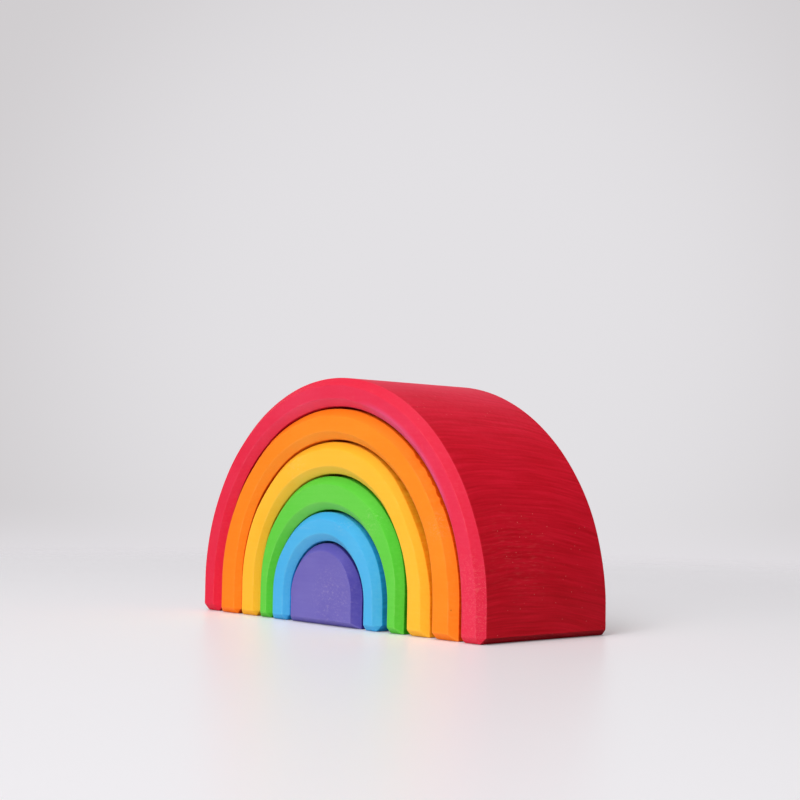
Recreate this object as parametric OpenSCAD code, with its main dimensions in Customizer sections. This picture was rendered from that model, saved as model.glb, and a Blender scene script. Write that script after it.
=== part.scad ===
// Rainbow stacker: five nested wooden arches and a half-round core.
// All six pieces are sawn from one half-round block, so each piece fits the next with a saw cut between.
// Millimetres, Z up. The front faces look along -Y. The origin lies on the table, under the middle.

/* [Block] */
// Width over the feet of the red arch
width = 170; // [150:1:200]
// Depth from the front faces to the back faces
depth = 68; // [40:1:90]
// Height of the straight legs of the red arch, below its round
leg_h = 10.7; // [8:0.1:30]
// Width of the saw cut between one piece and the next
kerf = 0.95; // [0.5:0.05:2]

/* [Leg thickness] */
// Thickness of the red arch at its feet
red_leg = 12.5; // [9:0.1:16]
// Thickness of the orange arch at its feet
orange_leg = 13.6; // [9:0.1:16]
// Thickness of the yellow arch at its feet
yellow_leg = 12.2; // [9:0.1:16]
// Thickness of the green arch at its feet
green_leg = 9.4; // [8:0.1:14]
// Thickness of the blue arch at its feet
blue_leg = 11.1; // [9:0.1:16]

/* [Crown thickness] */
// Thickness of the red arch at its crown
red_crown = 11.1; // [8:0.1:15]
// Thickness of the orange arch at its crown
orange_crown = 11.9; // [8:0.1:15]
// Thickness of the yellow arch at its crown
yellow_crown = 12.4; // [8:0.1:15]
// Thickness of the green arch at its crown
green_crown = 12.9; // [8:0.1:15]
// Thickness of the blue arch at its crown
blue_crown = 11.2; // [8:0.1:15]

/* [Edges] */
// Chamfer along the edges of the front and back faces
face_chamfer = 2.9; // [0.5:0.1:3.5]
// Chamfer along the edges under the feet
foot_chamfer = 2.2; // [0.5:0.1:3.5]

/* [Stacking] */
// How far the orange arch stands in front of the red arch
orange_ahead = 0.2; // [-10:0.1:10]
// How far the yellow arch stands in front of the red arch
yellow_ahead = -0.2; // [-10:0.1:10]
// How far the green arch stands in front of the red arch
green_ahead = 0; // [-10:0.1:10]
// How far the blue arch stands in front of the red arch
blue_ahead = 0.8; // [-10:0.1:10]
// How far the purple core stands in front of the red arch
purple_ahead = 0.6; // [-10:0.1:10]
// Sideways lean of the orange arch in its saw cut: -1 touches on the left, 1 on the right
orange_lean = 0; // [-0.7:0.05:0.7]
// Sideways lean of the yellow arch in its saw cut
yellow_lean = -0.6; // [-0.7:0.05:0.7]
// Sideways lean of the green arch in its saw cut
green_lean = -0.6; // [-0.7:0.05:0.7]
// Sideways lean of the blue arch in its saw cut
blue_lean = -0.6; // [-0.7:0.05:0.7]
// Sideways lean of the purple core in its saw cut
purple_lean = -0.6; // [-0.7:0.05:0.7]

/* [Hidden] */
$fn = 180;

// The pieces are numbered from the outside in
RED = 0;
ORANGE = 1;
YELLOW = 2;
GREEN = 3;
BLUE = 4;
PURPLE = 5;

legs = [red_leg, orange_leg, yellow_leg, green_leg, blue_leg];
crowns = [red_crown, orange_crown, yellow_crown, green_crown, blue_crown];
aheads = [0, orange_ahead, yellow_ahead, green_ahead, blue_ahead, purple_ahead];
leans = [0, orange_lean, yellow_lean, green_lean, blue_lean, purple_lean];

half_d = depth / 2;
// Cutting solids run past the faces that they cut by this much
past = 1;
// Side of the square bar that cuts a foot chamfer, when it lies on edge
foot_bar = foot_chamfer * sqrt(2);
// The middle of the stack lies between the piece furthest forward and the one furthest back
middle_ahead = (max(aheads) + min(aheads)) / 2;

function sum_to(list, count) = count == 0 ? 0 : list[count - 1] + sum_to(list, count - 1);
// Half width of a piece, which is also the radius of its round
function half_w(i) = width / 2 - sum_to(legs, i) - i * kerf;
// Height at which the straight legs of a piece end and its round begins
function spring_z(i) = leg_h + sum_to(legs, i) - sum_to(crowns, i);
// Where a piece stands on the table
function stand_at(i) = [kerf * sum_to(leans, i + 1), middle_ahead - aheads[i], 0];

// Right half of a section through depth that swells or narrows by side_step at both faces
module half_section(radius, side_step, over) {
    edge = half_d + over;
    edge_r = radius + side_step + sign(side_step) * over;
    shoulder = half_d - face_chamfer;
    polygon([[0, -edge], [edge_r, -edge], [radius, -shoulder], [radius, shoulder], [edge_r, edge], [0, edge]]);
}

// A round on straight legs: half a turn of the section above the spring, and the section pulled down below it
module round_on_legs(radius, spring, side_step, over) {
    translate([0, 0, spring])
        rotate([90, 0, 0])
            rotate_extrude(angle = 180)
                half_section(radius, side_step, over);
    translate([0, 0, -over])
        linear_extrude(spring + over)
            for (side = [0, 1])
                mirror([side, 0])
                    half_section(radius, side_step, over);
}

// Bars on edge along both bottom edges of the sides of a leg pair
module side_foot_bars(radius) {
    for (side = [-1, 1])
        translate([side * radius, 0, 0])
            rotate([0, 45, 0])
                cube([foot_bar, depth + 2 * past, foot_bar], center = true);
}

// Bars on edge along the bottom edges of the front and back faces
module face_foot_bars(radius) {
    for (side = [-1, 1])
        translate([0, side * half_d, 0])
            rotate([45, 0, 0])
                cube([2 * (radius + past), foot_bar, foot_bar], center = true);
}

// The outer form of a piece, with chamfered faces and feet
// Only the outermost arch is chamfered along the outer edges of its feet, where the whole block was sanded
module block(i) {
    difference() {
        round_on_legs(half_w(i), spring_z(i), -face_chamfer, 0);
        face_foot_bars(half_w(i));
        if (i == RED) side_foot_bars(half_w(i));
    }
}

// The hollow that leaves a saw cut round the next piece in
module hollow(i) {
    radius = half_w(i + 1) + kerf;
    round_on_legs(radius, spring_z(i + 1), face_chamfer, past);
    side_foot_bars(radius);
}

module arch(i) {
    translate(stand_at(i))
        difference() {
            block(i);
            hollow(i);
        }
}

module core(i) {
    translate(stand_at(i))
        block(i);
}

module red_arch() {
    color("#e8344f")
        arch(RED);
}

module orange_arch() {
    color("#fb8f28")
        arch(ORANGE);
}

module yellow_arch() {
    color("#fbc235")
        arch(YELLOW);
}

module green_arch() {
    color("#62d04a")
        arch(GREEN);
}

module blue_arch() {
    color("#4aaeea")
        arch(BLUE);
}

module purple_core() {
    color("#7064b4")
        core(PURPLE);
}

red_arch();
orange_arch();
yellow_arch();
green_arch();
blue_arch();
purple_core();
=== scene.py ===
# %% [markdown]
# # A stained wooden rainbow stacker
# The toy is six loose pieces of one wooden block: five arches and a half-round core. A saw cut the
# block along five round lines, the edges were sanded to flat slopes, and every piece was dipped in a
# thin stain that lets the wood show. The CAD frame already holds the six solids at their real size.
# This lesson models them again as meshes with soft, uneven edges and gives each its stained wood.

# %% Load the frame
import math

import bmesh
import bpy
from mathutils import Matrix, Vector, noise


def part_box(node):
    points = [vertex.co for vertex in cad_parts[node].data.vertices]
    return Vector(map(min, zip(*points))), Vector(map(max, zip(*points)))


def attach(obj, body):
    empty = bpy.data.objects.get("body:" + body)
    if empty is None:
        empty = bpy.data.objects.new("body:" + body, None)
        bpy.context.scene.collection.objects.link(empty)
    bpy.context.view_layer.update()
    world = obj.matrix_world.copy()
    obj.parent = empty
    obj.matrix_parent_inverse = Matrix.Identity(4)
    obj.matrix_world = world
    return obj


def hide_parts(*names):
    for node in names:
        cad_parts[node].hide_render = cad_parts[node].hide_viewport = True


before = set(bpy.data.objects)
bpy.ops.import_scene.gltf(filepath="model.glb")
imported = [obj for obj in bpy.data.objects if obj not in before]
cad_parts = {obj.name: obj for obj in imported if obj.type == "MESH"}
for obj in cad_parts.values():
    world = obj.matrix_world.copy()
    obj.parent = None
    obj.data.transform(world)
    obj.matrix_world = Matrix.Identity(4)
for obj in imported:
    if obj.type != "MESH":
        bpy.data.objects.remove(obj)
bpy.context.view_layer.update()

print("nodes:", sorted(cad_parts))

# %% [markdown]
# ## The camera
# The photograph was taken from low down, from the right of the front, with a short telephoto lens.
# The camera is a little higher than half the toy and looks slightly up, so the toy sits low in the
# picture. A camera could be placed by its coordinates, but it is easier to read as an aim point, three
# angles and a distance: it starts at the aim point, turns, tilts and rolls there, and then backs away
# along its own line of sight.

# %% Camera
camera_aim = Vector((0.0034, 0.0, 0.0886))
camera_turn = math.radians(48.4)
camera_tilt = math.radians(3.4)
camera_roll = math.radians(1.0)
camera_distance = 0.590
camera_lens = 66.1

quarter_turn = math.pi / 2
turned = (
    Matrix.Rotation(camera_turn, 4, "Z")
    @ Matrix.Rotation(quarter_turn + camera_tilt, 4, "X")
    @ Matrix.Rotation(camera_roll, 4, "Z")
)
bpy.ops.object.camera_add()
camera = bpy.context.object
camera.matrix_world = Matrix.Translation(camera_aim) @ turned @ Matrix.Translation((0, 0, camera_distance))
camera.data.lens = camera_lens
bpy.context.scene.camera = camera
print("camera at", [round(v, 3) for v in camera.matrix_world.translation])

# %% [markdown]
# ## Sizes from the frame
# Each solid's box gives its half width, its depth and its height. The round of an arch is half a
# circle as wide as the arch, so what is left of the height is the straight leg under it. Reading these
# from the frame keeps the meshes on the solids. Three small sizes can't be read from a box and are
# written here: the saw cut and the two slopes that sanding leaves.

# %% Sizes
mm_per_m = 1000
saw_cut = 0.00095
face_chamfer = 0.0029
foot_chamfer = 0.0022
node_names = ["red_arch", "orange_arch", "yellow_arch", "green_arch", "blue_arch", "purple_core"]


def measure(node):
    """The middle, half width, spring height, front and depth of a CAD node."""
    low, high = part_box(node)
    half_w = (high.x - low.x) / 2
    return {
        "mid_x": (high.x + low.x) / 2,
        "half_w": half_w,
        "spring": high.z - half_w,
        "front": low.y,
        "depth": high.y - low.y,
    }


sizes = {node: measure(node) for node in node_names}
for node, size in sizes.items():
    print(node, {key: round(mm_per_m * value, 2) for key, value in size.items()})

# %% [markdown]
# ## Selecting in code
# By hand, one would click or box-select. A script selects by place instead: a small helper takes a
# test and leaves only the vertices, edges or faces that pass it selected, so that the next operator
# acts on them alone.

# %% Selection helper
tiny = 1e-6
select_modes = {"verts": "VERT", "edges": "EDGE", "faces": "FACE"}


def select_where(kind, test):
    """Selects what passes the test among the edited mesh's verts, edges or faces, and nothing else."""
    mesh = bpy.context.edit_object.data
    bpy.ops.mesh.select_mode(type=select_modes[kind])
    chosen = [item.index for item in getattr(bmesh.from_edit_mesh(mesh), kind) if test(item)]
    bpy.ops.mesh.select_all(action="DESELECT")
    items = getattr(bmesh.from_edit_mesh(mesh), kind)
    items.ensure_lookup_table()
    for index in chosen:
        items[index].select_set(True)
    bmesh.update_edit_mesh(mesh)


print("can select by place:", ", ".join(select_modes))

# %% [markdown]
# ## Drawing a saw line
# A saw line is half a circle standing on two straight legs. It could be typed in as a row of points,
# but a circle primitive is rounder and quicker: the lower half is deleted, and the two open ends are
# extruded straight down to the table. A hand-guided saw also runs off its line a little. Moving one
# point with proportional editing drags its neighbours along and gives such a run a soft start and end.

# %% Saw line
round_steps = 180


def add_circle(mid_x, front, radius, spring):
    """A standing circle in the plane of the front faces."""
    bpy.ops.mesh.primitive_circle_add(
        vertices=2 * round_steps,
        radius=radius,
        location=(mid_x, front, spring),
        rotation=(quarter_turn, 0, 0),
    )


def stand_on_legs(spring):
    """Turns the circle that was just added into half a circle on two legs that reach the table."""
    select_where("verts", lambda v: v.select and v.co.z < spring - tiny)
    bpy.ops.mesh.delete(type="VERT")
    select_where("verts", lambda v: len(v.link_edges) == 1 and v.co.z > tiny)
    bpy.ops.mesh.extrude_vertices_move(TRANSFORM_OT_translate={"value": (0, 0, -spring)})


def drift(place, shift, reach):
    """Lets the saw line run off its round near a place, and smoothly back again."""
    points = bmesh.from_edit_mesh(bpy.context.edit_object.data).verts
    nearest = min(points, key=lambda v: math.hypot(v.co.x - place[0], v.co.z - place[1])).index
    select_where("verts", lambda v: v.index == nearest)
    bpy.ops.transform.translate(
        value=(shift[0], 0, shift[1]),
        use_proportional_edit=True,
        proportional_edit_falloff="SMOOTH",
        proportional_size=reach,
        use_proportional_connected=True,
    )


print("a round has", round_steps, "steps of", 180 / round_steps, "degrees")

# %% [markdown]
# ## From saw lines to a block
# Two saw lines bridged together make the front of an arch, and one saw line filled makes the front of
# the core. Cutting one solid from another with a boolean would give the same arch, but with long thin
# faces that shade badly. Extruding the front through the depth gives a closed block of even faces. It
# is done in steps, so that the long walls have enough rows of faces for a smooth shade.

# %% Blocks
depth_steps = 12
# Where the saw ran off, by x and z on the front, how far in x and z, and how much of the line went along
saw_drifts = {
    "yellow_arch": ((0.0488, 0.0423), (-0.00143, -0.00083), 0.038),
    "green_arch": ((0.0368, 0.0355), (0.0006, 0.00035), 0.035),
    "blue_arch": ((0.0318, 0.012), (-0.0006, 0.0), 0.03),
}


def start_piece(name, size):
    """A new object with the outer saw line of a piece, left in edit mode."""
    bpy.ops.object.select_all(action="DESELECT")
    add_circle(size["mid_x"], size["front"], size["half_w"], size["spring"])
    piece = bpy.context.object
    piece.name = piece.data.name = name
    bpy.ops.object.transform_apply(location=True, rotation=True, scale=True)
    bpy.ops.object.mode_set(mode="EDIT")
    bpy.ops.mesh.select_all(action="SELECT")
    stand_on_legs(size["spring"])
    return piece


def pull_through(depth):
    """Extrudes the selected front through the depth and turns all faces outwards."""
    for _ in range(depth_steps):
        bpy.ops.mesh.extrude_region_move(TRANSFORM_OT_translate={"value": (0, depth / depth_steps, 0)})
    bpy.ops.mesh.select_all(action="SELECT")
    bpy.ops.mesh.normals_make_consistent(inside=False)


def arch_block(name, size, inside, run_off=None):
    """An arch between its own saw line and the one around the piece inside it."""
    piece = start_piece(name, size)
    if run_off:
        drift(*run_off)
    add_circle(size["mid_x"], size["front"], inside["half_w"] + saw_cut, inside["spring"])
    stand_on_legs(inside["spring"])
    bpy.ops.mesh.select_mode(type="EDGE")
    bpy.ops.mesh.select_all(action="SELECT")
    bpy.ops.mesh.bridge_edge_loops()
    bpy.ops.mesh.select_all(action="SELECT")
    pull_through(size["depth"])
    return piece


def core_block(name, size):
    """The solid half-round inside one saw line."""
    piece = start_piece(name, size)
    bpy.ops.mesh.select_mode(type="VERT")
    bpy.ops.mesh.select_all(action="SELECT")
    bpy.ops.mesh.edge_face_add()
    pull_through(size["depth"])
    return piece


print("blocks are", depth_steps, "steps deep, and the saw ran off on", ", ".join(saw_drifts))

# %% [markdown]
# ## Sanded slopes
# Every edge of a face or a foot is sanded to a flat slope, but the outer edges under the feet only on
# the outermost arch, because the block was sanded before it was sawn. Sanding by hand is never even,
# so the width of a slope wanders a little along each edge, and it gets larger or smaller where the
# paper lingered or was lifted. A function that gives the width at any edge keeps all of this in one
# place.

# %% Slope widths
chamfer_wander = 0.07
wander_pace = 110
# Places by x and z on the front, how far they reach, and by what share the slope is wider there
sanded_places = {
    "red_arch": [((-0.085, 0.0), 0.022, 0.35)],
    "orange_arch": [((-0.058, 0.02), 0.04, -0.2)],
    "yellow_arch": [((-0.0454, 0.02), 0.035, -0.2), ((0.0488, 0.0423), 0.038, -0.22)],
    "blue_arch": [((-0.0241, 0.012), 0.02, -0.2)],
    "purple_core": [((0.0187, 0.006), 0.025, 0.2)],
}


def wander(place, phase):
    """A smooth number from -1 to 1 along an edge. Its two uneven swings keep it from repeating."""
    x, y, z = (wander_pace * value for value in place)
    return (math.sin(x + 1.7 * z + phase) + math.sin(2.3 * x - 1.1 * z + y + 2 * phase)) / 2


def nearness(point, size, place, reach):
    """1 at a place on the front of a piece, and a soft fall to 0 at its reach."""
    far = (point - Vector((place[0], size["front"], place[1]))).length / reach
    left = max(0, 1 - far)
    return left * left * (3 - 2 * left)


def chamfer_width(edge, size):
    """How wide a slope the sanding leaves along a sharp edge of a block."""
    start, end = (vert.co for vert in edge.verts)
    middle = (start + end) / 2
    width = face_chamfer
    if middle.z < tiny:
        along_depth = abs(start.x - end.x) < tiny
        outside = abs(middle.x - size["mid_x"]) > size["half_w"] - tiny
        width = 0 if along_depth and outside and not size["outermost"] else foot_chamfer
    share = 1 + chamfer_wander * wander(middle, size["phase"])
    for place, reach, change in sanded_places.get(size["node"], []):
        share += change * nearness(middle, size, place, reach)
    return width * share


print("slopes are", mm_per_m * face_chamfer, "mm wide, and", mm_per_m * foot_chamfer, "mm under the feet")

# %% [markdown]
# ## Soft edges
# Once the slopes are there, their own edges are still knife sharp, and nothing made of wood is. A
# bevel modifier both cuts the slopes and rounds what is left, because it treats many edges at once and
# meets neatly in the corners: the weight of an edge sets how wide its bevel gets. Where a slope meets
# a front face or a foot the rounding is broader, because fingers and the table wear it there.

# %% Bevels
sharp_edge = math.radians(60)
slope_edge = math.radians(25)
broad_round = 0.0004
foot_round = 0.0004
fine_round = 0.00025
round_segments = 3
flat_on = 0.99
faces_down = -0.5


def rounding_width(edge, size):
    """How far the last rounding reaches from an edge of a slope, on a piece of any size."""
    normals = [face.normal for face in edge.link_faces]
    if any(abs(normal.y) > flat_on for normal in normals):
        return broad_round
    if any(normal.z < faces_down for normal in normals):
        return foot_round
    return fine_round


def bevel_edges(piece, size, least_angle, width_of, segments):
    """Bevels the edges that bend by more than an angle, each by its own width."""
    draft = bmesh.new()
    draft.from_mesh(piece.data)
    weight = draft.edges.layers.float.get("bevel_weight_edge")
    if weight is None:
        weight = draft.edges.layers.float.new("bevel_weight_edge")
    widths = {e: width_of(e, size) for e in draft.edges if e.calc_face_angle(0) > least_angle}
    widest = max(widths.values())
    for edge in draft.edges:
        edge[weight] = widths.get(edge, 0) / widest
    draft.to_mesh(piece.data)
    draft.free()
    bpy.ops.object.modifier_add(type="BEVEL")
    bevel = piece.modifiers[-1]
    bevel.limit_method = "WEIGHT"
    bevel.width = widest
    bevel.segments = segments
    bevel.use_clamp_overlap = False
    bpy.ops.object.modifier_apply(modifier=bevel.name)


print("edges are rounded by", mm_per_m * fine_round, "to", mm_per_m * broad_round, "mm")

# %% [markdown]
# ## A torn edge
# On one stretch of the orange arch the saw tore short bits out of the edge. A bump in the material
# would not change the outline, so the bits are pushed in on the mesh: each step along the round gets a
# number from a fixed noise, and where that number is high enough its edge moves inwards. After that
# the piece is shaded smooth, and weighted normals keep its flat faces flat up to the rounded edges.

# %% Torn edge and finishing
torn_places = {"orange_arch": ((0.0557, 0.057), 0.014)}
torn_shift = (-0.0004, 0, -0.0003)
torn_least = 0.1
torn_depth = 1.3 * face_chamfer
edge_slack = 2 * fine_round
mid_cell = 0.5


def tear(size, place, reach):
    """Pushes in short bits of the outer front edge, where the saw tore fibres out."""
    def torn(vert):
        across, up = vert.co.x - size["mid_x"], vert.co.z - size["spring"]
        on_edge = math.hypot(across, up) > size["half_w"] - edge_slack
        in_front = vert.co.y < size["front"] + torn_depth
        step = round(round_steps * math.atan2(up, across) / math.pi)
        loose = noise.cell(Vector((step + mid_cell, mid_cell, mid_cell))) > torn_least
        return on_edge and in_front and loose and nearness(vert.co, size, place, reach) > 0

    bpy.ops.object.mode_set(mode="EDIT")
    select_where("verts", torn)
    bpy.ops.transform.translate(value=torn_shift)
    bpy.ops.object.mode_set(mode="OBJECT")


def finish_edges(piece, size):
    """Cuts the slopes of a block, rounds their edges, tears what is torn and shades the piece smooth."""
    bpy.ops.object.mode_set(mode="OBJECT")
    bevel_edges(piece, size, sharp_edge, chamfer_width, 1)
    bevel_edges(piece, size, slope_edge, rounding_width, round_segments)
    if size["node"] in torn_places:
        tear(size, *torn_places[size["node"]])
    bpy.ops.object.shade_smooth()
    bpy.ops.object.modifier_add(type="WEIGHTED_NORMAL")
    bpy.ops.object.modifier_apply(modifier=piece.modifiers[-1].name)


print("torn edges on:", ", ".join(torn_places))

# %% [markdown]
# ## The six pieces
# The pieces could be made once and scaled, because they look alike, but scaling would also scale the
# slopes and the saw cut. So each piece is made at its own size, from the outside in. It then rides on
# its body, so that it slides with the joint, and stands for the plain solid of the same name.

# %% Model the six pieces
pieces = {}
for index, node in enumerate(node_names):
    if node == "purple_core":
        piece = core_block("core_wood", sizes[node])
    else:
        inside = sizes[node_names[index + 1]]
        piece = arch_block(node.replace("_arch", "_wood"), sizes[node], inside, saw_drifts.get(node))
    finish_edges(piece, sizes[node] | {"node": node, "phase": index, "outermost": index == 0})
    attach(piece, node)
    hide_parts(node)
    pieces[node] = piece
    print(piece.name, "has", len(piece.data.polygons), "faces")

# %% [markdown]
# ## Writing shader maths as Python
# A material is a graph of nodes, and a graph is slow to read. A small class wraps one output socket
# and lets plus, minus, times and power add the Math nodes, so that a formula in the script is the
# formula in the shader. Every other node comes from one method.

# %% Shader helper
class Finish:
    """The node tree of one material or world, emptied."""

    def __init__(self, block):
        self.block = block
        block.use_nodes = True
        self.tree = block.node_tree
        self.tree.nodes.clear()

    def node(self, kind, settings=(), sockets=(), output=0):
        """Adds a node, sets it, feeds its sockets with values or wires, and returns one output."""
        made = self.tree.nodes.new("ShaderNode" + kind)
        for setting, value in dict(settings).items():
            setattr(made, setting, value)
        for socket, value in dict(sockets).items():
            if isinstance(value, Wire):
                self.tree.links.new(value.socket, made.inputs[socket])
            else:
                made.inputs[socket].default_value = value
        return Wire(self, made.outputs[output] if made.outputs else None)

    def mix(self, share, first, second):
        """Blends two colours, on the sockets that a Mix node keeps for colours."""
        return self.node("Mix", {"data_type": "RGBA"}, {0: share, 6: first, 7: second}, output=2)

    def vector(self, operation, first, second, output="Vector"):
        """Vector maths on two vectors, or on a vector and a number for SCALE."""
        slot = 3 if operation == "SCALE" else 1
        return self.node("VectorMath", {"operation": operation}, {0: first, slot: second}, output)

    def axes(self, vector):
        """The x, y and z of a vector."""
        return [self.node("SeparateXYZ", (), {0: vector}, output=axis) for axis in "XYZ"]


class Wire:
    """One output socket, on which Python's operators add Math nodes."""

    def __init__(self, finish, socket):
        self.finish = finish
        self.socket = socket

    def math(self, operation, *values):
        return self.finish.node("Math", {"operation": operation}, dict(enumerate(values)))

    def __add__(self, other):
        return self.math("ADD", self, other)

    def __sub__(self, other):
        return self.math("SUBTRACT", self, other)

    def __rsub__(self, other):
        return self.math("SUBTRACT", other, self)

    def __mul__(self, other):
        return self.math("MULTIPLY", self, other)

    def __pow__(self, other):
        return self.math("POWER", self, other)

    def __abs__(self):
        return self.math("ABSOLUTE", self)

    __radd__ = __add__
    __rmul__ = __mul__

    def step(self, low, high):
        """0 below low, 1 above high, and a soft rise between."""
        settings = {"interpolation_type": "SMOOTHSTEP"}
        return self.finish.node("MapRange", settings, {0: self, 1: low, 2: high})


print("maths on wires:", ", ".join(["+", "-", "*", "**", "abs", "step"]))

# %% [markdown]
# ## Clouds, dots and places
# Grain and wear are made of three things: soft clouds of noise, small round dots, and spots around a
# chosen place. An image could hold them, but it would stretch around the arches. Noise at Object
# coordinates fills the block like real grain does, so it runs on from the faces into the walls.

# %% Pattern helpers
dot_core = 0.6
pick_blur = 0.01


def rgb(red, green, blue):
    """A colour given as 8-bit sRGB numbers, turned to linear light by the sRGB curve, with full alpha."""
    def linear(value):
        share = value / 255
        return share / 12.92 if share <= 0.04045 else ((share + 0.055) / 1.055) ** 2.4
    return (linear(red), linear(green), linear(blue), 1)


def cloud(vector, scale, detail=2):
    """Soft noise around 0."""
    return vector.finish.node("TexNoise", (), {"Vector": vector, "Scale": scale, "Detail": detail}) - 0.5


def dots(vector, scale, size, share):
    """Round dots, one to a cell, in a share of the cells."""
    finish = vector.finish
    cells = {"Vector": vector, "Scale": scale}
    near = 1 - finish.node("TexVoronoi", (), cells).step(size * dot_core, size)
    pick = finish.node("SeparateColor", (), {0: finish.node("TexVoronoi", (), cells, output="Color")})
    return near * pick.step(1 - share, 1 + pick_blur - share)


def close_to(vector, place, inner, outer):
    """1 within the inner distance of a place, and a soft fall to 0 at the outer one."""
    return 1 - vector.finish.vector("DISTANCE", vector, place, output="Value").step(inner, outer)


bare_wood = rgb(255, 226, 205)
print("bare wood in linear light:", [round(v, 3) for v in bare_wood])

# %% [markdown]
# ## The block's grain
# All six pieces come from one block, so they share its growth rings. The fibres run along the width,
# so the walls of the legs show end grain, where the rings are arcs around a pith far below the table.
# The front faces show long grain: even and faintly streaked. The rings could be a Wave texture, but
# counting them in maths gives each year its own strength, as good and bad summers do.

# %% Grain
# Millimetres: the gap between rings, the place of the pith, and how far the rings sway and ripple
ring_gap = 3.0
pith_y = -12.0
pith_z = -110.0
ring_sway = 7
ring_sway_scale = 0.018
ring_ripple = 0.6
ring_ripple_scale = 0.09
# Late wood is dark from its rise to its fall, as shares of a ring, and in a poor year only faintly
late_rise = (0.4, 0.85)
late_fall = (0.86, 1)
least_late = 0.2
# Streaks of pores follow the rings, and fibres follow x
streak_long_x = 0.05
streak_long_y = 0.04
streak_scale = 1.15
fibre_long = (0.05, 1, 1)
fibre_scale = 0.9
fibre_detail = 4
mottle_scale = 0.05
mottle_detail = 3


def grain(mm):
    """The wires of the rings, streaks, fibres and soft mottle of the block."""
    finish = mm.finish
    x, y, z = finish.axes(mm)
    square = (y - pith_y) ** 2 + (z - pith_z) ** 2
    sway = cloud(mm, ring_sway_scale) * ring_sway
    radius = square ** 0.5 + sway + cloud(mm, ring_ripple_scale) * ring_ripple
    count = radius * (1 / ring_gap)
    place = count.math("FRACT", count)
    year = finish.node("TexWhiteNoise", {"noise_dimensions": "1D"}, {"W": count.math("FLOOR", count)})
    strength = least_late + year * (1 - least_late)
    ringwise = finish.node("CombineXYZ", (), {0: x * streak_long_x, 1: y * streak_long_y, 2: radius})
    along = finish.vector("MULTIPLY", mm, fibre_long)
    return {
        "radius": radius,
        "along": along,
        "late_wood": place.step(*late_rise) * (1 - place.step(*late_fall)) * strength,
        "streaks": cloud(ringwise, streak_scale),
        "fibres": cloud(along, fibre_scale, fibre_detail),
        "mottle": cloud(mm, mottle_scale, mottle_detail),
    }


print("rings are", ring_gap, "mm apart, around a pith", -pith_z, "mm under the table")

# %% [markdown]
# ## Which way a surface faces
# Dye behaves differently on a wall, a slope and an edge. Slopes that face up get painted shade and
# slopes that face down get painted light, and the undersides of the feet get painted shade. These could
# be painted by hand or given materials of their own. Here they are read from the surface's own direction
# in Object coordinates, so the borders fall on the edges by themselves. A Bevel node compares each
# point with its rounded neighbourhood and finds the edges.

# %% Facing
# Each pair is where a soft step starts and ends: on a part of the direction, on the bend, or in mm
wall_turn = (0.2, 0.7)
end_grain_turn = (0, 0.9)
slope_turn = (0.35, 0.72)
tilt_height = (3, 8)
under_turn = (0.2, 0.6)
rim_rise = (0.74, 0.84)
rim_fall = (0.94, 0.99)
rim_side = (0.15, 0.4)
rim_gaps = (-0.1, 0.2)
rim_gap_scale = 0.25
rim_gap_detail = 3
edge_reach = 0.0009
edge_samples = 6
edge_bend = (0.004, 0.035)
left_side = (15, 80)
low_part = (0, 60)


def facing(mm):
    """The wires that tell walls, slopes, rims, edges and undersides apart, and left and low places."""
    finish = mm.finish
    x, _, z = finish.axes(mm)
    facing_x, facing_y, facing_z = finish.axes(finish.node("TexCoord", output="Normal"))
    wall = 1 - abs(facing_y).step(*wall_turn)
    rim = abs(facing_y).step(*rim_rise) * (1 - abs(facing_y).step(*rim_fall))
    gaps = cloud(mm, rim_gap_scale, rim_gap_detail).step(*rim_gaps)
    rounded = finish.node("Bevel", {"samples": edge_samples}, {"Radius": edge_reach})
    normal = finish.node("NewGeometry", output="Normal")
    bend = finish.vector("DOT_PRODUCT", rounded, normal, output="Value")
    return {
        "end_grain": wall * abs(facing_x).step(*end_grain_turn),
        "slope": (1 - wall) * abs(facing_x).step(*slope_turn),
        # the tilt of a slope, for painted shade on slopes that face up and painted light on slopes that face
        # down
        "tilt": (1 - wall) * facing_z * z.step(*tilt_height),
        # where a surface faces down, for painted shade under the feet
        "under": (-1 * facing_z).step(*under_turn),
        "rim": rim * abs(facing_x).step(*rim_side) * gaps,
        "edge": (1 - bend).step(*edge_bend),
        "left": (-1 * x).step(*left_side),
        "low": 1 - z.step(*low_part),
    }


print("edges are worn up to", mm_per_m * edge_reach, "mm from the bend")

# %% [markdown]
# ## Wear
# A toy that has been played with has scuffs, pale flecks where a face was rubbed, open pores that the
# dye didn't fill, and scratches where fingers lift the outer arch. Two of the arches also have one
# small dark spot each. Painting the marks by hand would take a map for every piece. Here noise gives
# the small ones, and a place and a reach say where they gather.

# %% Wear
grip_place = (85, -13, 32)
grip_reach = (6, 27)
scratch_long = 0.1
scratch_scale = 2.4
scratch_cut = (0.02, 0.2)
scuff_long = (0.6, 0.4, 1)
scuff_scale = 1.1
scuff_detail = 5
scuff_cut = (0, 0.22)
# Dots: cells to a millimetre, size as a share of a cell, and the share of cells that have one
speck_dots = (0.4, 0.08, 0.45)
fleck_dots = (2.5, 0.36, 0.6)
rub_core = 0.3
spot_reach = (0.15, 0.5)


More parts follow.
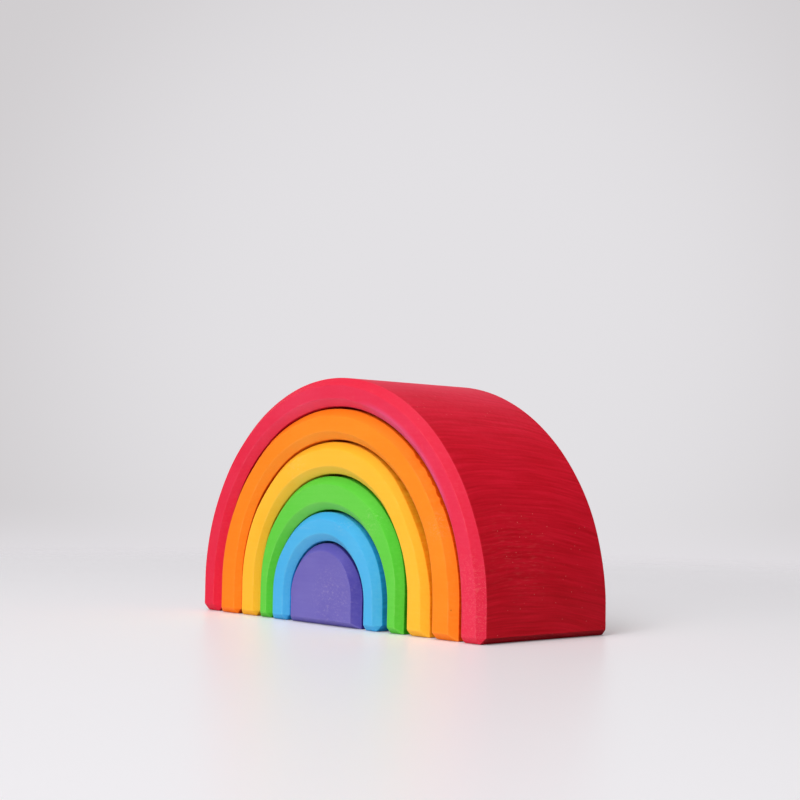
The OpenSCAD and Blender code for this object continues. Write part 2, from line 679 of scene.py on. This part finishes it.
def wear(mm, wood, rub_at, rub_reach, spot_at):
    """The wires of the marks that use has left, for a place that is rubbed and one with a spot."""
    finish = mm.finish
    x, y, _ = finish.axes(mm)
    worn = finish.vector("MULTIPLY", mm, scuff_long)
    scratchwise = finish.node("CombineXYZ", (), {0: x * scratch_long, 1: y * scratch_long, 2: wood["radius"]})
    scratches = cloud(scratchwise, scratch_scale).step(*scratch_cut)
    return {
        "scuffs": cloud(worn, scuff_scale, scuff_detail).step(*scuff_cut),
        "scratches": scratches * close_to(mm, grip_place, *grip_reach),
        "specks": dots(wood["along"], *speck_dots),
        "flecks": dots(mm, *fleck_dots),
        "rubbed": close_to(mm, rub_at, rub_reach * rub_core, rub_reach),
        "spot": close_to(mm, spot_at, *spot_reach) if spot_at else 0,
    }


print("scratches lie around", grip_place, "mm")

# %% [markdown]
# ## How thick the dye is
# A thin dye colours the wood without hiding it, and every shade of one piece is the same dye in a
# thicker or thinner layer. A layer twice as thick lets light through twice over, which squares the
# colour, so a Gamma node with the thickness as its power gives true stain shades. The layer is thicker
# in end grain and in late wood and pores. It is also thicker towards the bottom of the walls and to the
# left, and thinner where edges are rubbed and along the rounded rims. On slopes it also carries painted
# shade and painted light: it is thicker on slopes that face up and thinner on slopes that face down.

# %% Dye layer
# How much each thing adds to a layer of 1, on all of the piece or only on its walls or slopes
# makes the walls deeper in colour towards the bottom
low_wall_deepening = 0.1
# painted shade on slopes that face up and painted light on slopes that face down
tilt_painted_shade_and_light = 0.22
# makes the colour deeper towards the left
left_deepening = 0.14
mottle_soak = 0.2
fibre_soak = 0.06
slope_fibre_soak = 0.15
late_soak = 0.01
wall_late_soak = 0.04
streak_soak = 0.03
wall_streak_soak = 0.4
edge_wear = 0.1
edge_fibre_wear = 0.3
# makes the layer thinner along the rounded rims between faces and slopes
rim_lightening = 0.06


def dye_layer_with_painted_light(wood, slope_soak, wall_soak):
    """The thickness of the dye, where 1 is a front face, with painted shade on slopes that face up and
    painted light on slopes that face down.
    """
    walls = wood["end_grain"]
    return (
        1
        + walls * (wall_soak + wood["low"] * low_wall_deepening)
        + wood["slope"] * slope_soak
        # painted shade and painted light on tilted slopes
        + wood["tilt"] * tilt_painted_shade_and_light
        + wood["left"] * left_deepening
        + wood["mottle"] * mottle_soak
        + wood["fibres"] * (fibre_soak + wood["slope"] * slope_fibre_soak)
        + wood["late_wood"] * (late_soak + walls * wall_late_soak)
        + wood["streaks"] * (streak_soak + walls * wall_streak_soak)
        - wood["edge"] * (edge_wear + wood["fibres"] * edge_fibre_wear)
        - wood["rim"] * rim_lightening
    )


print("low walls add", low_wall_deepening, "to the layer, and the left side adds up to", left_deepening)

# %% [markdown]
# ## Dark and pale marks
# End grain swallows light between its open fibres, so the walls are also darkened, most in the streaks.
# The walls are also darker towards the bottom, and the end grain under the feet gets painted shade. On
# the yellow and blue arches the darkening is negative, which is painted light on their walls. Pale marks
# are the other way round: there the dye is gone and bare wood shows through. Mixing towards the colour
# of bare wood keeps them warm, which plain white would not.

# %% Dark and pale
late_shade = 0.05
streak_shade = 0.45
# makes the walls darker towards the bottom
low_wall_darkening = 0.1
# painted shade on the end grain under the feet
painted_under_shade = 0.5
spot_shade = 0.27
speck_pale = 0.04
wall_speck_pale = 0.16
fleck_pale = 0.1
scuff_pale = 0.01
scratch_pale = 0.022
edge_pale = 0.04
wall_edge_loss = 0.03
# makes the rounded rims between faces and slopes paler
rim_pale = 0.025


def tone_with_painted_light_and_shade(wood, wall_darkening_and_painted_light):
    """The share of the light that the stain gives back, where 1 is a front face, with painted shade under the
    feet and painted light on brightened walls.
    """
    darkening_with_painted_light_and_shade = (
        # a negative value here is painted light
        wall_darkening_and_painted_light
        + wood["late_wood"] * late_shade
        + wood["streaks"] * streak_shade
        + wood["low"] * low_wall_darkening
        # painted shade under the feet
        + wood["under"] * painted_under_shade
    )
    return 1 - wood["end_grain"] * darkening_with_painted_light_and_shade - wood["spot"] * spot_shade


def bareness(wood, rub_pale):
    """The share of bare wood that shows through the stain."""
    walls = wood["end_grain"]
    rubbed = wood["rubbed"] * (1 - walls)
    return (
        wood["specks"] * (speck_pale + walls * wall_speck_pale)
        + wood["flecks"] * rubbed * fleck_pale
        + wood["scuffs"] * (scuff_pale - walls * scuff_pale + rubbed * rub_pale)
        + wood["scratches"] * walls * scratch_pale
        + wood["edge"] * (edge_pale - walls * wall_edge_loss)
        + wood["rim"] * rim_pale
    )


print("bare wood shows through by up to", speck_pale + wall_speck_pale, "in the pores of a wall")

# %% [markdown]
# ## A painted sheen on the rim
# Along the upper right of the red arch's hollow a narrow strip shows a cool, mauve sheen, where the slope
# is seen at a glancing angle and reflects the pale room. This sheen is painted: it could be a piece of its
# own, but a sheen has no thickness. So a colour is mixed in near the round of the hollow, on the front
# only, and it fades out towards the crown and the leg.

# %% Painted rim sheen
# painted sheen: a cool colour that stands in for the glancing reflection on the red arch's rim
painted_sheen = rgb(208, 112, 170)
painted_sheen_share = 0.35
# Millimetres: out from the hollow, in front of the middle, to the right of it and above the table
painted_sheen_width = (2.6, 5)
painted_sheen_front = (29, 31.5)
painted_sheen_right = (15, 35)
painted_sheen_height = (40, 55)


def painted_rim_sheen(mm, spring, radius):
    """The share of painted sheen around a hollow with this spring height and radius, in millimetres."""
    x, y, z = mm.finish.axes(mm)
    far = (x ** 2 + (z - spring) ** 2) ** 0.5
    near = 1 - far.step(radius + painted_sheen_width[0], radius + painted_sheen_width[1])
    return near * (-1 * y).step(*painted_sheen_front) * x.step(*painted_sheen_right) * z.step(*painted_sheen_height) * painted_sheen_share


print("the haze is up to", painted_sheen_width[1], "mm wide")

# %% [markdown]
# ## Stained wood
# The parts come together in one material. The stain is a colour raised to the power of its layer,
# darkened and rubbed bare, and the layer and the darkening also carry painted light and shade. Raised
# fibres and sunken pores go into a Bump node, because they are far too fine for the mesh. A water stain
# has no varnish on it, so the finish is matt with little shine. The red arch's rim also gets a painted
# sheen.

# %% Stained wood
matt = 0.55
fibre_matt = 0.2
wall_matt = 0.1
shine = 0.09
fibre_relief = 0.5
late_relief = 0.2
speck_relief = 0.4
relief_strength = 0.2
relief_height = 0.0003


def stained_wood(name, habit):
    """The material of one piece, from its dye on a front face and the habits of its wood, with painted light,
    shade and sheen.
    """
    finish = Finish(bpy.data.materials.new(name))
    mm = finish.vector("SCALE", finish.node("TexCoord", output="Object"), mm_per_m)
    wood = grain(mm) | facing(mm)
    wood |= wear(mm, wood, habit["rub_at"], habit["rub_reach"], habit.get("spot_at"))
    # the layer carries painted shade and painted light on tilted slopes
    layer = dye_layer_with_painted_light(wood, habit["slope_soak"], habit["wall_soak"])
    stain_with_painted_light = finish.node("Gamma", (), {"Color": habit["dye"], "Gamma": layer})
    # the darkening carries painted shade under the feet and painted light on the yellow and blue walls
    shaded = finish.vector("SCALE", stain_with_painted_light, tone_with_painted_light_and_shade(wood, habit["wall_darkening_and_painted_light"]))
    colour = finish.mix(bareness(wood, habit["rub_pale"]), shaded, bare_wood)
    # painted sheen mixed in on the red arch's rim
    if "painted_sheen_round" in habit:
        colour = finish.mix(painted_rim_sheen(mm, *habit["painted_sheen_round"]), colour, painted_sheen)
    relief = (
        wood["fibres"] * fibre_relief
        - wood["late_wood"] * late_relief
        - wood["specks"] * speck_relief
    )
    bump = {"Strength": relief_strength, "Distance": relief_height, "Height": relief}
    shader = finish.node("BsdfPrincipled", (), {
        "Base Color": colour,
        "Roughness": matt + wood["fibres"] * fibre_matt + wood["end_grain"] * wall_matt,
        "Specular IOR Level": shine,
        "Normal": finish.node("Bump", (), bump),
    })
    finish.node("OutputMaterial", (), {"Surface": shader})
    return finish.block


print("the stain is matt, with a roughness of about", matt)

# %% [markdown]
# ## Six stains
# Each piece was dipped in its own dye, and each dye soaks into slopes and walls in its own way. A
# material for each could be built by hand, but they are the same wood, so one function makes them all
# and a short list holds what differs: the dye on a front face, how much more of it slopes and walls
# take up, how dark the walls are, and where the piece is rubbed. On the yellow and blue arches the walls
# are given a negative darkness, which is painted light, and the red arch gets a painted sheen on its
# rim. The numbers were found by comparing renders with the photograph. Places are in millimetres.

# %% Six stains
hollow = sizes["orange_arch"]
red_hollow = (mm_per_m * hollow["spring"], mm_per_m * (hollow["half_w"] + saw_cut))
stains = {
    "red_arch": {
        "dye": rgb(231, 52, 81),
        "slope_soak": 0.1,
        "wall_soak": 0.5,
        "wall_darkening_and_painted_light": 0.06,
        "rub_at": (76, -36, 12),
        "rub_reach": 26,
        "rub_pale": 0.03,
        # where the painted sheen lies on the rim of the hollow
        "painted_sheen_round": red_hollow,
    },
    "orange_arch": {
        "dye": rgb(252, 140, 34),
        "slope_soak": 0.05,
        "wall_soak": 0.6,
        "wall_darkening_and_painted_light": 0.08,
        "rub_at": (62, -34, 40),
        "rub_reach": 7,
        "rub_pale": 0.05,
        "spot_at": (69.5, -33.1, 10.9),
    },
    "yellow_arch": {
        "dye": rgb(251, 190, 56),
        "slope_soak": 0.08,
        "wall_soak": 0.3,
        # painted light: the negative value brightens the yellow arch's walls
        "wall_darkening_and_painted_light": -0.2,
        "rub_at": (-20, -34, 60),
        "rub_reach": 8,
        "rub_pale": 0.05,
        "spot_at": (40.7, -33.5, 48.4),
    },
    "green_arch": {
        "dye": rgb(103, 207, 72),
        "slope_soak": 0.18,
        "wall_soak": 0.6,
        "wall_darkening_and_painted_light": 0.1,
        "rub_at": (26, -34, 40),
        "rub_reach": 8,
        "rub_pale": 0.05,
    },
    "blue_arch": {
        "dye": rgb(81, 180, 231),
        "slope_soak": 0.03,
        "wall_soak": 0.5,
        # painted light: the negative value brightens the blue arch's walls
        "wall_darkening_and_painted_light": -0.38,
        "rub_at": (10, -34, 40),
        "rub_reach": 7,
        "rub_pale": 0.05,
    },
    "purple_core": {
        "dye": rgb(112, 103, 180),
        "slope_soak": 0.32,
        "wall_soak": 0.6,
        "wall_darkening_and_painted_light": 0.1,
        "rub_at": (5, -34, 11),
        "rub_reach": 16,
        "rub_pale": 0.09,
    },
}
for node, habit in stains.items():
    slot = node.split("_")[0] + "_stained_wood"
    pieces[node].data.materials.append(stained_wood(slot, habit))
    print(pieces[node].name, "is stained with", slot)

# %% [markdown]
# ## The table
# The toy stands on a pale, slightly glossy table, and no horizon shows. A real studio bends a paper
# roll up behind the toy. Here the table is a plane that fades away around a place close to the toy, so
# that the backdrop shows through further out, which also works when the camera goes round the toy. A
# little of its own glow, seen only by the camera, keeps it as pale as lit paper.

# %% Table
table_half = 3.0
table_gap = 0.00005
fade_middle = (0.1, -0.1, 0)
fade_start = 0.35
fade_end = 0.85
glow_share = 0.15
paper_white = rgb(246, 244, 247)
paper_glow = rgb(240, 238, 241)
paper_roughness = 0.35
paper_shine = 0.12

bpy.ops.object.select_all(action="DESELECT")
bpy.ops.mesh.primitive_plane_add(size=2 * table_half, location=(0, 0, -table_gap))
table = bpy.context.object
table.name = table.data.name = "table"
bpy.ops.object.transform_apply(location=True, rotation=True, scale=True)

paper = Finish(bpy.data.materials.new("pale_table"))
sheet = {"Base Color": paper_white, "Roughness": paper_roughness, "Specular IOR Level": paper_shine}
lit = paper.node("BsdfPrincipled", (), sheet)
glow = paper.node("Emission", (), {"Color": paper_glow})
glowing = paper.node("LightPath", output="Is Camera Ray") * glow_share
near = paper.node("MixShader", (), {0: glowing, 1: lit, 2: glow})
far = paper.node("BsdfTransparent")
reach = paper.vector("DISTANCE", paper.node("TexCoord", output="Object"), fade_middle, output="Value")
faded = paper.node("MixShader", (), {0: reach.step(fade_start, fade_end), 1: near, 2: far})
paper.node("OutputMaterial", (), {"Surface": faded})
table.data.materials.append(paper.block)
print("table fades out between", fade_start, "and", fade_end, "m")

# %% [markdown]
# ## The backdrop
# Behind the toy hangs a pale backdrop, a little brighter in the middle of the picture. It could be a
# wall, but a wall would get in the way of a camera on the other side. So it is the world's colour, as
# the camera and glossy surfaces see it. Below eye level it is as pale as the table, so that the table
# fades into it without a horizon. As a light, the world only fills the shade a little.

# %% Backdrop
backdrop_edge = rgb(209, 206, 208)
backdrop_middle = rgb(227, 225, 228)
backdrop_foot = rgb(227, 224, 228)
backdrop_toward = (-0.725, 0.681, 0.11)
backdrop_spread = (0.94, 1)
foot_rise = (0.01, 0.065)
fill_colour = rgb(250, 249, 252)
fill_strength = 0.14

room = Finish(bpy.data.worlds.new("pale_room"))
direction = room.node("TexCoord", output="Generated")
toward = room.vector("DOT_PRODUCT", direction, backdrop_toward, output="Value")
below = -1 * room.axes(direction)[2]
upright = room.mix(toward.step(*backdrop_spread), backdrop_edge, backdrop_middle)
shown = room.mix(below.step(*foot_rise), upright, backdrop_foot)
rays = [room.node("LightPath", output=f"Is {kind} Ray") for kind in ("Camera", "Glossy", "Transmission")]
seen = rays[0] + rays[1] + rays[2]
backdrop = room.node("Background", (), {"Color": shown, "Strength": 1})
fill = room.node("Background", (), {"Color": fill_colour, "Strength": fill_strength})
room.node("OutputWorld", (), {"Surface": room.node("MixShader", (), {0: seen, 1: fill, 2: backdrop})})
bpy.context.scene.world = room.block
bpy.context.scene.view_settings.view_transform = "Standard"
print("world", room.block.name, "fills the shade with a strength of", fill_strength)

# %% [markdown]
# ## The light
# Three large soft boxes light the toy. One in front and one higher up, both a little to the right,
# light the faces, and a third one overhead lights the crowns and the table. The right wall gets only
# glancing light from them, so it stays dark and rich. Small lamps would be simpler, but their shadows
# would have hard edges, and the photograph's shadow is soft.

# %% Lights
toy_middle = (0, 0, 0.05)
toy_foot = (0, 0, 0)


def soft_box(name, place, aim, width, power):
    """A square area lamp at a place, turned to its aim."""
    bpy.ops.object.light_add(type="AREA", location=place)
    lamp = bpy.context.object
    lamp.name = name
    lamp.data.size = width
    lamp.data.energy = power
    lamp.rotation_euler = (Vector(aim) - Vector(place)).to_track_quat("-Z", "Y").to_euler()
    print(name, "is", width, "m wide and gives", power, "W")


soft_box("front_box", place=(0.45, -1.9, 0.55), aim=toy_middle, width=1.3, power=13)
soft_box("key_box", place=(0.48, -1.41, 1.34), aim=toy_middle, width=0.8, power=11.5)
soft_box("top_box", place=(0.0, -0.5, 1.75), aim=toy_foot, width=1.3, power=17.5)
